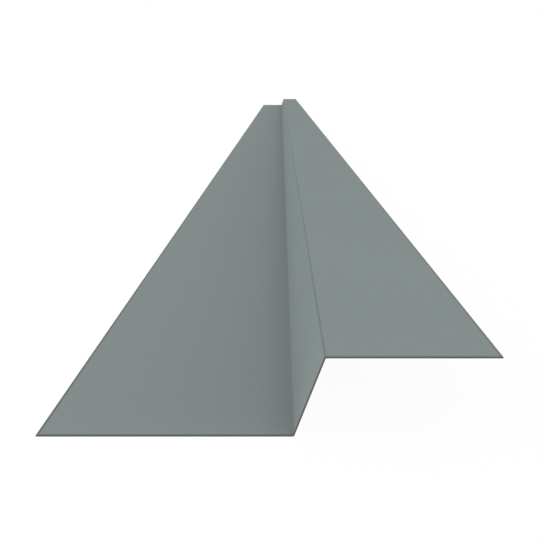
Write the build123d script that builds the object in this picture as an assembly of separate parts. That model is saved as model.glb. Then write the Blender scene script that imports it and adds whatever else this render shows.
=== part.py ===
from build123d import *
import math
import os

# Z-bar flashing: one strip of pre-painted sheet steel with two opposite folds along its length.
# X runs across the section, Y along the stock, Z up. The lower flange lies on the floor at Z = 0,
# and the origin is on the floor, under the middle of the section and halfway along the stock.

# Driving dimensions, in millimetres and degrees
stock_length = 3048.0  # ten-foot stock
lower_flange_width = 76.2  # from the cut edge to the outside corner of the lower fold
web_width = 26.2  # up the slope, from the outside corner of one fold to the inside corner of the other
upper_flange_width = 50.8  # from the inside corner of the upper fold to the cut edge
web_slope = 70.0  # rise of the web from the flanges
sheet_thickness = 0.45  # 29 gauge galvanised steel with its paint
inside_bend_radius = 0.25  # on the hollow side of both folds, which are bent tight

# The web's rise and run, which place the upper flange
web_run = web_width * math.cos(math.radians(web_slope))
web_rise = web_width * math.sin(math.radians(web_slope))
section_width = lower_flange_width + web_run + upper_flange_width


def underside_line():
    # Corners of the sheet's lower face, from the lower flange's cut edge to the upper flange's.
    # The lower fold shows its outside radius on this face, and the upper fold its inside radius.
    lower_edge_x = -section_width / 2
    lower_fold_x = lower_edge_x + lower_flange_width
    upper_fold_x = lower_fold_x + web_run
    corners = [
        (lower_edge_x, 0),
        (lower_fold_x, 0),
        (upper_fold_x, web_rise),
        (upper_fold_x + upper_flange_width, web_rise),
    ]
    outside_bend_radius = inside_bend_radius + sheet_thickness
    return FilletPolyline(*corners, radius=[outside_bend_radius, inside_bend_radius])


def sheet_section():
    # The underside line thickened upwards by one sheet thickness, so both folds keep an even wall.
    outline = offset(underside_line(), amount=sheet_thickness, side=Side.LEFT, closed=True)
    return make_face(outline)


def folded_sheet():
    # The section stands in the XZ plane and runs half the stock length each way along Y.
    return extrude(Plane.XZ * sheet_section(), amount=stock_length / 2, both=True)


os.makedirs("parts", exist_ok=True)
export_step(folded_sheet(), "parts/folded_sheet.step")
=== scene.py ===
import math
import bpy
import numpy as np
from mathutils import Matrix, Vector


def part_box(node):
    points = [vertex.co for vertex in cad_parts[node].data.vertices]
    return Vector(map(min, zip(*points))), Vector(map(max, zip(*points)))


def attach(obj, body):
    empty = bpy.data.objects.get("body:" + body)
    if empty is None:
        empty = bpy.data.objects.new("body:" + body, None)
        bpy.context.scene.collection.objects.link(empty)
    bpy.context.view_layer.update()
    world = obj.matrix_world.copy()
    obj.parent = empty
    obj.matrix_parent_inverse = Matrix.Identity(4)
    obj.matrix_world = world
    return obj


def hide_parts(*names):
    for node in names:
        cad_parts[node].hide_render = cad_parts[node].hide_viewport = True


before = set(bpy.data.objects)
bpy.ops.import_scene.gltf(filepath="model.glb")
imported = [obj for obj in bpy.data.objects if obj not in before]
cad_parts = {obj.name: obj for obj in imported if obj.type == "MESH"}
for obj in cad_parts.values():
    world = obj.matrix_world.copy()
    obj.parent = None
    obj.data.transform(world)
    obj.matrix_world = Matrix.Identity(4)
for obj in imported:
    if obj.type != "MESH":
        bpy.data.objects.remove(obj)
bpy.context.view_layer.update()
print("frame loaded:", ", ".join(sorted(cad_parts)))

# The sheet's own values, in metres and degrees. Its length, width and height come from the frame.
# A depth is the share of a coat's tone that an effect takes away.
sheet = {
    "thickness": 0.00045,
    "insideRadius": 0.00025,  # on the hollow side of both folds
    "webSlope": 70.0,
    "upperFlange": 0.0508,  # from the inside corner of the upper fold to the cut edge
    "edgeRound": 0.00008,  # roll-over that the slitting knives leave on the long edges
    "endRound": 0.00005,  # the same on the sheared ends
    "roundSteps": 4,
    "foldSteps": 12,
    "flatSteps": (12, 6, 10),  # lower flange, web, upper flange
    "supportGap": 0.0006,  # keeps the shading of a flat from bending into a fold or an edge
    "stationPitch": 0.04,  # between rows along the stock
    "bakeEndStrip": 0.012,  # share of the texture's height that each end takes
    "bakeLeast": (0.0003, 0.004),  # added to each step across and along, so that the smallest still bake
    "topCoat": {  # grey-green coil paint
        "colour": (0.226, 0.262, 0.258),
        "roughness": (0.78, 0.86),
        "grain": {"Clouds": 0.05, "Lines": 0.02, "Specks": 0.12, "Shift": 0.0},
    },
    "backCoat": {  # pale wash coat under the sheet
        "colour": (0.44, 0.44, 0.42),
        "roughness": (0.66, 0.76),
        "grain": {"Clouds": 0.08, "Lines": 0.05, "Specks": 0.04, "Shift": 3.7},
    },
    "paintShine": 0.0,  # a dead flat paint
    "peelHeight": 0.00004,
    "peelRange": (0.3, 0.7),  # the peel's hollows and tops, which take the two roughnesses
    "rims": {  # width and depth of the darker rim along the two slit edges and the sheared ends
        "Lower": (0.00078, 0.38),
        "Upper": (0.0009, 0.20),
        "End": (0.00068, 0.38),
    },
    "rimRagged": 0.6,  # how far a rim's border strays, as a share of its width
    "rimSoft": 0.2,  # half the blur of that border, as a share of the rim's width
    "outerShadeDepth": 0.20,  # painted shade: a darker band over the outside of a fold
    "shadeLineWidth": 0.0012,  # painted shade: a darker line in the hollow of a fold
    "shadeLineShift": 0.00055,  # how far it lies towards the web
    "shadeLineDepth": 0.175,
    "bandFade": (0.25, 0.9),  # where both painted shade bands begin and finish fading, in widths from the middle
    "bandUneven": 0.5,  # how much both vary along the stock
    "creaseReach": 0.012,  # painted shade along the inside of a fold, fading out over this reach
    "creaseShadeDepth": 0.052,
    "shearedSteel": {  # the bare cut, painted dark as shade, with its torn part first in each pair
        "colour": (0.085, 0.093, 0.090),
        "roughness": (0.70, 0.55),
        "tones": (0.95, 1.15),
        "shine": 0.3,
        "burnish": 0.38,  # share of the cut, from its top, that the knife rubbed smooth before the rest tore
        "burnishWaver": 0.4,  # how far the border strays, as a share of the cut
        "burnishSoft": 0.05,  # half the blur of that border
        "marks": 0.30,  # contrast of the knife's marks through the thickness
    },
    "patterns": {  # cells in a metre across, along and off the sheet, then octaves of finer detail
        "clouds": ((7.0, 7.0, 7.0), 3.0),
        "lines": ((650.0, 0.9, 1.0), 2.0),
        "specks": ((1100.0, 350.0, 1.0), 1.0),
        "peel": ((1800.0, 1800.0, 1800.0), 2.0),
        "rimWaver": ((420.0, 420.0, 1.0), 3.0),
        "foldWaver": ((300.0, 25.0, 1.0), 2.0),
        "burnishWaver": ((350.0, 0.0, 1.0), 3.0),  # this and the next: along the cut, through it
        "knifeMarks": ((4200.0, 700.0, 1.0), 2.0),
    },
}


def sheetLayout():
    # Works out the stretches of the neutral line from the frame's box: three flats and two equal folds.
    low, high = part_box("folded_sheet")
    slope = math.radians(sheet["webSlope"])
    thickness = sheet["thickness"]
    inside = sheet["insideRadius"]
    tangent = math.tan(slope / 2)
    rise = high.z - low.z - thickness
    run = rise / math.tan(slope)
    lowerFlange = high.x - low.x - run - sheet["upperFlange"]
    lowerFlat = lowerFlange - (inside + thickness) * tangent
    webFlat = rise / math.sin(slope) - (2 * inside + thickness) * tangent
    upperFlat = sheet["upperFlange"] - inside * tangent
    fold = (inside + thickness / 2) * slope
    stops = np.cumsum([0, lowerFlat, fold, webFlat, fold, upperFlat])
    return {"low": low, "high": high, "slope": slope, "neutralRadius": fold / slope, "stops": stops}


def foldPoint(layout, across, height):
    # The neutral line's tilt climbs from level to the web's slope over the lower fold and falls back to
    # level over the upper one. Its place is the sum of the flats, the web and the two arcs passed so far.
    # A point stands off that line by its height through the sheet, along the line's normal.
    slope = layout["slope"]
    radius = layout["neutralRadius"]
    stops = layout["stops"]
    lowerTurn = np.clip((across - stops[1]) / radius, 0, slope)
    upperTurn = np.clip((across - stops[3]) / radius, 0, slope)
    level = np.minimum(across, stops[1]) + np.maximum(across - stops[4], 0)
    climb = np.clip(across - stops[2], 0, stops[3] - stops[2])
    tilt = lowerTurn - upperTurn
    arcRun = np.sin(lowerTurn) + np.sin(slope) - np.sin(slope - upperTurn)
    arcRise = 1 - np.cos(lowerTurn) + np.cos(slope - upperTurn) - np.cos(slope)
    off = height - sheet["thickness"] / 2
    x = level + climb * np.cos(slope) + radius * arcRun - off * np.sin(tilt)
    z = climb * np.sin(slope) + radius * arcRise + off * np.cos(tilt)
    return layout["low"].x + x, layout["low"].z + sheet["thickness"] / 2 + z


def spaced(start, end, steps):
    # Even steps from start to end, with one more close to each end.
    gap = sheet["supportGap"]
    inner = np.linspace(start, end, steps + 1)[1:-1]
    return np.concatenate([[start, start + gap], inner, [end - gap, end]])


def sectionSamples(layout):
    # Half of the section's outline from one long edge to the other, as a rounded bar: base is the place
    # across the sheet, lift the height off its face, and inward and upward say how an inset moves both.
    stops = layout["stops"]
    edge = sheet["edgeRound"]
    turn = np.linspace(0, math.pi / 2, sheet["roundSteps"] + 1)
    lowerSteps, webSteps, upperSteps = sheet["flatSteps"]
    middle = np.unique(np.concatenate([
        spaced(edge, stops[1], lowerSteps),
        np.linspace(stops[1], stops[2], sheet["foldSteps"] + 1),
        spaced(stops[2], stops[3], webSteps),
        np.linspace(stops[3], stops[4], sheet["foldSteps"] + 1),
        spaced(stops[4], stops[5] - edge, upperSteps),
    ]).round(9))[1:-1]
    cosine, sine = np.cos(turn), np.sin(turn)
    flat = np.zeros_like(middle)
    base = np.concatenate([edge * (1 - cosine), middle, (stops[5] - edge * (1 - cosine))[::-1]])
    lift = np.concatenate([edge * (1 - sine), flat, edge * (1 - sine)[::-1]])
    inward = np.concatenate([cosine, flat, -cosine[::-1]])
    upward = np.concatenate([sine, flat + 1, sine[::-1]])
    return base, lift, inward, upward


def endStations(layout):
    # Places along the stock, each with the inset of its section: a quarter round at each sheared end.
    turn = np.linspace(math.pi / 2, 0, sheet["roundSteps"] + 1)
    corner = sheet["endRound"]
    low, high = layout["low"].y, layout["high"].y
    steps = int((high - low) / sheet["stationPitch"])
    body = spaced(low + corner, high - corner, steps)[1:-1]
    curve = corner * (1 - np.sin(turn))
    inset = corner * (1 - np.cos(turn))
    along = np.concatenate([low + curve, body, (high - curve)[::-1]])
    return along, np.concatenate([inset, np.zeros_like(body), inset[::-1]])


def sheetSurface(layout):
    # The section's outline, under face first and top face back, carried along the stock as one closed skin.
    # Two maps go with it, in metres: the sheet laid flat, and the run along a cut with the height through it.
    base, lift, inward, upward = sectionSamples(layout)
    along, inset = endStations(layout)
    across = base + inset[:, None] * inward
    height = lift + inset[:, None] * upward
    underX, underZ = foldPoint(layout, across, height)
    topX, topZ = foldPoint(layout, across, sheet["thickness"] - height)
    x = np.concatenate([underX, topX[:, ::-1]], axis=1)
    z = np.concatenate([underZ, topZ[:, ::-1]], axis=1)
    y = np.broadcast_to(along[:, None], x.shape)
    flatAcross = np.concatenate([across, across[:, ::-1]], axis=1)
    flatAlong = y - layout["low"].y
    through = np.concatenate([height, sheet["thickness"] - height[:, ::-1]], axis=1)
    maps = {
        "developed": np.stack([flatAcross, flatAlong], axis=2),
        "cut": np.stack([flatAcross + flatAlong, through], axis=2),
    }
    return np.stack([x, y, z], axis=2), maps


def skinFaces(rows, columns):
    # Four corners for each step along the stock and round the section, then the two end strips.
    row, column = np.meshgrid(np.arange(rows - 1), np.arange(columns), indexing="ij")
    after = (column + 1) % columns
    sides = np.stack([
        row * columns + column,
        (row + 1) * columns + column,
        (row + 1) * columns + after,
        row * columns + after,
    ], axis=2)
    under = np.arange(columns // 2 - 1)
    top = columns - 1 - under
    nearEnd = np.stack([under, under + 1, top - 1, top], axis=1)
    farEnd = nearEnd[:, ::-1] + (rows - 1) * columns
    return np.concatenate([sides.reshape(-1, 4), nearEnd, farEnd])


def coatOfFaces(rows, columns):
    # 0 top coat, 1 back coat, 2 bare steel: the roll-overs, the edges, the end rounds and the ends are bare.
    half = columns // 2
    corner = sheet["roundSteps"]
    body = slice(corner, rows - 1 - corner)
    sides = np.full((rows - 1, columns), 2)
    sides[body, corner:half - 1 - corner] = 1
    sides[body, half + corner:columns - 1 - corner] = 0
    ends = np.full(2 * (half - 1), 2)
    return np.concatenate([sides.ravel(), ends])


def spreadOut(lengths, least):
    # Running share of the whole, from 0 to 1, in which no step takes less than its least length.
    share = np.concatenate([[0], np.cumsum(lengths + least)])
    return share / share[-1]


def bakeSpread(points):
    # A flat layout for textures: round the section across it, along the stock up it, and each end as a thin
    # strip at the bottom or the top, with as much left free beside it.
    rows, columns = points.shape[:2]
    strip = sheet["bakeEndStrip"]
    leastAcross, leastAlong = sheet["bakeLeast"]
    ring = points[rows // 2]
    around = np.linalg.norm(np.diff(ring, axis=0, append=ring[:1]), axis=1)
    acrossShare = spreadOut(around, leastAcross)
    alongShare = spreadOut(np.abs(np.diff(points[:, 0, 1])), leastAlong)
    alongShare = 2 * strip + alongShare * (1 - 4 * strip)
    row, column = np.meshgrid(np.arange(rows - 1), np.arange(columns), indexing="ij")
    u = acrossShare[np.stack([column, column, column + 1, column + 1], axis=2)]
    v = alongShare[np.stack([row, row + 1, row + 1, row], axis=2)]
    under = np.arange(columns // 2 - 1)
    endU = acrossShare[np.stack([under, under + 1, under + 1, under], axis=1)]
    endV = np.broadcast_to([0, 0, strip, strip], endU.shape)
    sides = np.stack([u, v], axis=3)
    near = np.stack([endU, endV], axis=2)
    far = np.stack([endU, 1 - endV], axis=2)[:, ::-1]
    return np.concatenate([sides.reshape(-1, 2), near.reshape(-1, 2), far.reshape(-1, 2)])


def addMap(mesh, name, corners):
    uvMap = mesh.uv_layers.new(name=name)
    uvMap.uv.foreach_set("vector", corners.astype(np.float32).ravel())


def makeSheet(layout, coats):
    # Puts the skin, its coats and its maps into one mesh.
    points, maps = sheetSurface(layout)
    rows, columns = points.shape[:2]
    faces = skinFaces(rows, columns)
    mesh = bpy.data.meshes.new("paintedSheet")
    mesh.from_pydata(points.reshape(-1, 3), [], faces)
    mesh.polygons.foreach_set("material_index", coatOfFaces(rows, columns))
    mesh.polygons.foreach_set("use_smooth", np.ones(len(faces), dtype=bool))
    for name, places in maps.items():
        addMap(mesh, name, places.reshape(-1, 2)[faces.ravel()])
    addMap(mesh, "OFBake", bakeSpread(points))
    for coat in coats:
        mesh.materials.append(coat)
    mesh.update()
    piece = bpy.data.objects.new("paintedSheet", mesh)
    bpy.context.scene.collection.objects.link(piece)
    print("sheet:", len(mesh.vertices), "vertices,", len(mesh.polygons), "faces")
    return piece


class Nodes:
    # Small helper for laying out one node tree.
    def __init__(self, tree):
        self.tree = tree
        tree.nodes.clear()

    def add(self, kind, **settings):
        node = self.tree.nodes.new(kind)
        for name, value in settings.items():
            setattr(node, name, value)
        return node

    def link(self, source, target):
        self.tree.links.new(source, target)

    def feed(self, socket, value):
        if isinstance(value, bpy.types.NodeSocket):
            self.link(value, socket)
        else:
            socket.default_value = value

    def math(self, operation, *values):
        node = self.add("ShaderNodeMath", operation=operation)
        for socket, value in zip(node.inputs, values):
            self.feed(socket, value)
        return node.outputs[0]

    def vector(self, operation, first, second):
        node = self.add("ShaderNodeVectorMath", operation=operation)
        self.feed(node.inputs[0], first)
        self.feed(node.inputs["Scale" if operation == "SCALE" else 1], second)
        return node.outputs[0]

    def parts(self, vector):
        node = self.add("ShaderNodeSeparateXYZ")
        self.link(vector, node.inputs[0])
        return node.outputs["X"], node.outputs["Y"]

    def noise(self, place, name):
        cells, octaves = sheet["patterns"][name]
        node = self.add("ShaderNodeTexNoise")
        self.link(self.vector("MULTIPLY", place, cells), node.inputs["Vector"])
        node.inputs["Scale"].default_value = 1.0
        node.inputs["Detail"].default_value = octaves
        return node.outputs["Fac"]

    def spread(self, noise, width, middle):
        # Moves a noise of 0 to 1 to a width about a middle.
        return self.math("MULTIPLY_ADD", noise, width, middle - width / 2)

    def ramp(self, value, start, end, low, high):
        node = self.add("ShaderNodeMapRange", interpolation_type="SMOOTHSTEP")
        names = ("Value", "From Min", "From Max", "To Min", "To Max")
        for name, given in zip(names, (value, start, end, low, high)):
            self.feed(node.inputs[name], given)
        return node.outputs["Result"]

    def mixShader(self, share, first, second):
        node = self.add("ShaderNodeMixShader")
        self.feed(node.inputs[0], share)
        self.link(first.outputs[0], node.inputs[1])
        self.link(second.outputs[0], node.inputs[2])
        return node


def newGroup(name, values, results):
    # Each group reads a place on the flat sheet and some values, and puts out values that vary over it.
    tree = bpy.data.node_groups.new(name, "ShaderNodeTree")
    tree.interface.new_socket("Place", in_out="INPUT", socket_type="NodeSocketVector")
    for value in values:
        tree.interface.new_socket(value, in_out="INPUT", socket_type="NodeSocketFloat")
    for result in results:
        tree.interface.new_socket(result, in_out="OUTPUT", socket_type="NodeSocketFloat")
    nodes = Nodes(tree)
    return nodes, nodes.add("NodeGroupInput").outputs, nodes.add("NodeGroupOutput").inputs


def coatGrainGroup():
    # Roller-coated paint on the flat strip: broad clouds, fine lines and drawn-out specks along the stock,
    # and orange peel. Shift takes a coat to another part of the patterns.
    depths = ("Clouds", "Lines", "Specks")
    nodes, given, out = newGroup("coatGrain", depths + ("Shift",), ("Tone", "Peel"))
    shift = nodes.add("ShaderNodeCombineXYZ")
    nodes.link(given["Shift"], shift.inputs["Z"])
    place = nodes.vector("ADD", given["Place"], shift.outputs[0])
    tone = 1.0
    for depth in depths:
        centred = nodes.math("SUBTRACT", nodes.noise(place, depth.lower()), 0.5)
        tone = nodes.math("MULTIPLY_ADD", centred, given[depth], tone)
    nodes.link(tone, out["Tone"])
    nodes.link(nodes.noise(place, "peel"), out["Peel"])
    return nodes.tree


def cutRimGroup():
    # Darker rims along the cuts: a cut's depth over most of its rim and 0 past it, with a ragged border.
    sizes = [f"{cut} {size}" for cut in sheet["rims"] for size in ("Width", "Depth")]
    nodes, given, out = newGroup("cutRim", ["Sheet Width", "Sheet Length"] + sizes, ("Rim",))
    across, along = nodes.parts(given["Place"])
    distances = {
        "Lower": across,
        "Upper": nodes.math("SUBTRACT", given["Sheet Width"], across),
        "End": nodes.math("MINIMUM", along, nodes.math("SUBTRACT", given["Sheet Length"], along)),
    }
    ragged = nodes.spread(nodes.noise(given["Place"], "rimWaver"), sheet["rimRagged"], 0.0)
    soft = sheet["rimSoft"]
    rim = 0.0
    for cut, distance in distances.items():
        share = nodes.math("DIVIDE", distance, given[f"{cut} Width"])
        inward = nodes.math("SUBTRACT", share, ragged)
        rimDarkening = nodes.ramp(inward, 1.0 - soft, 1.0 + soft, given[f"{cut} Depth"], 0.0)
        rim = nodes.math("MAXIMUM", rim, rimDarkening)
    nodes.link(rim, out["Rim"])
    return nodes.tree


def awayFromFold(nodes, given):
    # Distance on the flat sheet from the middle of a fold.
    across = nodes.parts(given["Place"])[0]
    return nodes.math("ABSOLUTE", nodes.math("SUBTRACT", across, given["Middle"]))


def foldBandGroup():
    # A narrow band along a fold, 1 at its middle and 0 at its sides, a little uneven along the stock: the
    # mask for painted shade.
    nodes, given, out = newGroup("foldBand", ("Middle", "Width"), ("Band",))
    start, end = (nodes.math("MULTIPLY", given["Width"], share) for share in sheet["bandFade"])
    band = nodes.ramp(awayFromFold(nodes, given), start, end, 1.0, 0.0)
    uneven = nodes.spread(nodes.noise(given["Place"], "foldWaver"), sheet["bandUneven"], 1.0)
    nodes.link(nodes.math("MULTIPLY", band, uneven), out["Band"])
    return nodes.tree


def foldCreaseGroup():
    # Nearness to the inside of a fold, 1 in the crease and 0 past its reach: the mask for painted shade.
    nodes, given, out = newGroup("foldCrease", ("Middle", "Reach"), ("Crease",))
    nodes.link(nodes.ramp(awayFromFold(nodes, given), 0.0, given["Reach"], 1.0, 0.0), out["Crease"])
    return nodes.tree


def newMaterial(name, shine):
    material = bpy.data.materials.new(name)
    material.use_nodes = True
    nodes = Nodes(material.node_tree)
    shader = nodes.add("ShaderNodeBsdfPrincipled")
    out = nodes.add("ShaderNodeOutputMaterial")
    nodes.link(shader.outputs[0], out.inputs["Surface"])
    shader.inputs["Specular IOR Level"].default_value = shine
    return material, nodes, shader.inputs


def placeGroup(nodes, group, place, values):
    node = nodes.add("ShaderNodeGroup", node_tree=group)
    nodes.link(place, node.inputs["Place"])
    for name, value in values.items():
        node.inputs[name].default_value = value
    return node.outputs


def coatMasks(nodes, place, layout, groups, outerFold, innerFold):
    # Where a coat is darker, each with its depth: a rim along the cuts, painted shade over the outside of one
    # fold, and painted shade as a line and a soft band in the hollow of the other.
    stops = layout["stops"]
    towardsWeb = math.copysign(sheet["shadeLineShift"], outerFold - innerFold)
    cuts = {"Sheet Width": float(stops[5]), "Sheet Length": layout["high"].y - layout["low"].y}
    for cut, (width, depth) in sheet["rims"].items():
        cuts.update({f"{cut} Width": width, f"{cut} Depth": depth})
    rim = placeGroup(nodes, groups["rim"], place, cuts)
    outerShade = placeGroup(nodes, groups["band"], place, {
        "Middle": outerFold,
        "Width": float(stops[2] - stops[1]),
    })
    line = placeGroup(nodes, groups["band"], place, {
        "Middle": innerFold + towardsWeb,
        "Width": sheet["shadeLineWidth"],
    })
    crease = placeGroup(nodes, groups["crease"], place, {
        "Middle": innerFold,
        "Reach": sheet["creaseReach"],
    })
    return (
        (rim["Rim"], 1.0),  # already holds the depth of each cut
        (outerShade["Band"], sheet["outerShadeDepth"]),
        (line["Band"], sheet["shadeLineDepth"]),
        (crease["Crease"], sheet["creaseShadeDepth"]),
    )


def coatMaterial(name, layout, groups, outerFold, innerFold):
    # Coil paint: its colour times the grain and the masks, with the peel in its roughness and its bump.
    coat = sheet[name]
    material, nodes, shader = newMaterial(name, sheet["paintShine"])
    place = nodes.add("ShaderNodeUVMap", uv_map="developed").outputs["UV"]
    grain = placeGroup(nodes, groups["grain"], place, coat["grain"])
    tone = grain["Tone"]
    # The masks darken the colour: rims along the cuts, and painted shade over and in the folds.
    for mask, depth in coatMasks(nodes, place, layout, groups, outerFold, innerFold):
        tone = nodes.math("MULTIPLY", tone, nodes.math("MULTIPLY_ADD", mask, -depth, 1.0))
    nodes.link(nodes.vector("SCALE", coat["colour"], tone), shader["Base Color"])
    nodes.link(nodes.ramp(grain["Peel"], *sheet["peelRange"], *coat["roughness"]), shader["Roughness"])
    bump = nodes.add("ShaderNodeBump")
    bump.inputs["Distance"].default_value = sheet["peelHeight"]
    nodes.link(grain["Peel"], bump.inputs["Height"])
    nodes.link(bump.outputs[0], shader["Normal"])
    return material


def shearedSteelMaterial():
    # The bare cut: a burnished band at its top and torn steel below, parted by a wavering border, with short
    # marks through the thickness.
    steel = sheet["shearedSteel"]
    material, nodes, shader = newMaterial("shearedSteel", steel["shine"])
    place = nodes.add("ShaderNodeUVMap", uv_map="cut").outputs["UV"]
    height = nodes.parts(place)[1]
    depth = nodes.math("SUBTRACT", 1.0, nodes.math("DIVIDE", height, sheet["thickness"]))
    border = nodes.spread(nodes.noise(place, "burnishWaver"), steel["burnishWaver"], steel["burnish"])
    soft = steel["burnishSoft"]
    burnished = nodes.ramp(nodes.math("SUBTRACT", depth, border), -soft, soft, 1.0, 0.0)
    marked = nodes.spread(nodes.noise(place, "knifeMarks"), steel["marks"], 1.0)
    torn, smooth = steel["tones"]
    tone = nodes.math("MULTIPLY", marked, nodes.math("MULTIPLY_ADD", burnished, smooth - torn, torn))
    # The steel's dark colour is painted shade on the cut.
    nodes.link(nodes.vector("SCALE", steel["colour"], tone), shader["Base Color"])
    nodes.link(nodes.ramp(burnished, 0.0, 1.0, *steel["roughness"]), shader["Roughness"])
    return material


layout = sheetLayout()
groups = {
    "grain": coatGrainGroup(),
    "rim": cutRimGroup(),
    "band": foldBandGroup(),
    "crease": foldCreaseGroup(),
}
lowerFold = float(layout["stops"][1:3].mean())
upperFold = float(layout["stops"][3:5].mean())
topCoat = coatMaterial("topCoat", layout, groups, upperFold, lowerFold)
backCoat = coatMaterial("backCoat", layout, groups, lowerFold, upperFold)
print("coats ready")

paintedSheet = makeSheet(layout, [topCoat, backCoat, shearedSteelMaterial()])
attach(paintedSheet, "root")
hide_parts("folded_sheet")

plainWhite = (1.0, 1.0, 1.0, 1.0)


def seenRays(nodes):
    # 1 for the rays that show a surface to the eye, straight or by reflection, and 0 for those that light
    # other surfaces.
    rays = nodes.add("ShaderNodeLightPath").outputs
    seen = nodes.math("MAXIMUM", rays["Is Camera Ray"], rays["Is Glossy Ray"])
    return nodes.math("MAXIMUM", seen, rays["Is Transmission Ray"])


floor = {
    "halfSize": 30.0,
    "drop": 0.0002,  # keeps the floor just under the sheet's own underside
    "colour": (0.95, 0.95, 0.95, 1.0),
    "shadowShare": 0.05,  # how much of the shadow shows on the white floor
}


def floorMaterial():
    # Rays that light other surfaces meet pale paint. The eye and reflections see white with a faint shadow.
    material = bpy.data.materials.new("whiteFloor")
    material.use_nodes = True
    nodes = Nodes(material.node_tree)
    paint = nodes.add("ShaderNodeBsdfDiffuse")
    paint.inputs["Color"].default_value = floor["colour"]
    shadowed = nodes.add("ShaderNodeBsdfDiffuse")
    shadowed.inputs["Color"].default_value = plainWhite
    glow = nodes.add("ShaderNodeEmission")
    shown = nodes.mixShader(floor["shadowShare"], glow, shadowed)
    surface = nodes.mixShader(seenRays(nodes), paint, shown)
    out = nodes.add("ShaderNodeOutputMaterial")
    nodes.link(surface.outputs[0], out.inputs["Surface"])
    return material


def makeFloor():
    half, level = floor["halfSize"], -floor["drop"]
    corners = [(-half, -half, level), (half, -half, level), (half, half, level), (-half, half, level)]
    mesh = bpy.data.meshes.new("floor")
    mesh.from_pydata(corners, [], [(0, 1, 2, 3)])
    mesh.materials.append(floorMaterial())
    plane = bpy.data.objects.new("floor", mesh)
    bpy.context.scene.collection.objects.link(plane)


makeFloor()
print("floor laid")

# Soft studio light: an even white room, and two low lamps that face each other across the stock.
# A lamp at azimuth 0 stands on the lower flange's side.
light = {
    "sky": 0.94,
    "lamps": {"lowerSide": (0.85, 0.0), "upperSide": (0.78, 180.0)},  # strength, azimuth
    "lampElevation": 10.0,
    "lampAngle": 40.0,  # as wide as a large soft box
}


def makeSky():
    # The room lights the sheet at its own strength, and shows as plain white.
    world = bpy.data.worlds.new("softBox")
    bpy.context.scene.world = world
    world.use_nodes = True
    nodes = Nodes(world.node_tree)
    lit = nodes.add("ShaderNodeBackground")
    shown = nodes.add("ShaderNodeBackground")
    for background, strength in ((lit, light["sky"]), (shown, 1.0)):
        background.inputs["Color"].default_value = plainWhite
        background.inputs["Strength"].default_value = strength
    room = nodes.mixShader(seenRays(nodes), lit, shown)
    out = nodes.add("ShaderNodeOutputWorld")
    nodes.link(room.outputs[0], out.inputs["Surface"])


def makeLamp(name, strength, azimuth):
    data = bpy.data.lights.new(name, "SUN")
    data.energy = strength
    data.angle = math.radians(light["lampAngle"])
    lamp = bpy.data.objects.new(name, data)
    lamp.rotation_euler = (0, math.radians(light["lampElevation"] - 90), math.radians(azimuth))
    bpy.context.scene.collection.objects.link(lamp)


makeSky()
for lampName, lampValues in light["lamps"].items():
    makeLamp(lampName, *lampValues)
print("light set")

view = {
    "place": (0.00427, -1.72095, 0.10101),
    "pitch": 15.943,  # looking down along the stock
    "lens": 49.08,
    "sensor": 36.0,
    "shift": (-0.01967, 0.03849),  # the photograph's frame is a little off its middle
    "clip": (0.01, 200.0),
}


def makeCamera():
    data = bpy.data.cameras.new("camera")
    data.sensor_width = view["sensor"]
    data.lens = view["lens"]
    data.shift_x, data.shift_y = view["shift"]
    data.clip_start, data.clip_end = view["clip"]
    camera = bpy.data.objects.new("camera", data)
    camera.location = view["place"]
    camera.rotation_euler = (math.radians(90 - view["pitch"]), 0, 0)
    bpy.context.scene.collection.objects.link(camera)
    bpy.context.scene.camera = camera


makeCamera()
bpy.context.scene.view_settings.view_transform = "Standard"
print("camera placed")

bpy.context.view_layer.update()
